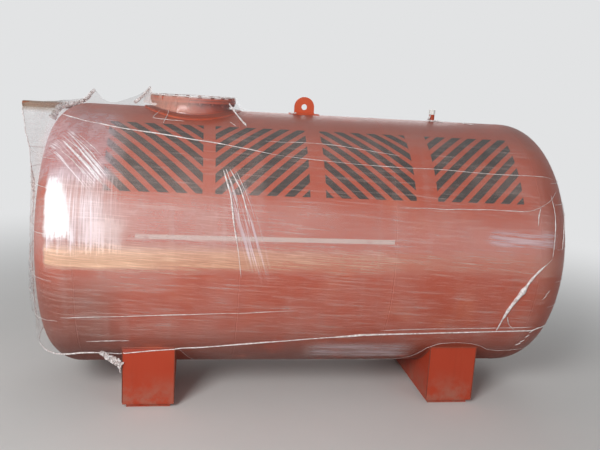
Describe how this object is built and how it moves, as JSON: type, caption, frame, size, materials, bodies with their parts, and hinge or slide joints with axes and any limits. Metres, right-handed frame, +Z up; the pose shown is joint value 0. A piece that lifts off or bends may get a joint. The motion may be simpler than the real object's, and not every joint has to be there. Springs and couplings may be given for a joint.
{
  "type": "horizontal storage tank on two saddles",
  "caption": "Welded steel tank lying on two box saddles, with dished heads, bolted manway, lifting lug, capped vent and clear wrapping film.",
  "frame": {"origin": "on the floor, under the middle of the whole piece", "axes": "X runs along the tank with the manway towards -X, Y from the front to the back, Z up"},
  "size_m": [3.9624, 1.9098, 2.18],
  "materials": {
    "tank_paint": "satin",
    "saddle_paint": "satin",
    "lug_paint": "gloss",
    "gasket_rubber": "matte",
    "cap_plastic": "gloss",
    "wrap_film": "gloss"
  },
  "bodies": {
    "root": {"shell_course_left": "tank_paint", "shell_course_middle": "tank_paint", "shell_course_right": "tank_paint", "left_head": "tank_paint", "right_head": "tank_paint", "manway_pad": "tank_paint", "manway_neck": "tank_paint", "manway_flange": "tank_paint", "manway_gasket": "gasket_rubber", "manway_cover": "tank_paint", "lug_foot_pad": "tank_paint", "lifting_lug": "lug_paint", "vent_pipe": "tank_paint", "vent_cap": "cap_plastic", "gauge_pipe": "tank_paint", "left_saddle_sole": "saddle_paint", "left_saddle_base": "saddle_paint", "left_saddle_front": "saddle_paint", "left_saddle_back": "saddle_paint", "left_saddle_outer_web": "saddle_paint", "left_saddle_inner_web": "saddle_paint", "right_saddle_sole": "saddle_paint", "right_saddle_base": "saddle_paint", "right_saddle_front": "saddle_paint", "right_saddle_back": "saddle_paint", "right_saddle_outer_web": "saddle_paint", "right_saddle_inner_web": "saddle_paint", "film_over_shell": "wrap_film", "film_over_right_head": "wrap_film", "film_tent_left": "wrap_film", "film_over_manway": "wrap_film"}
  },
  "joints": []
}
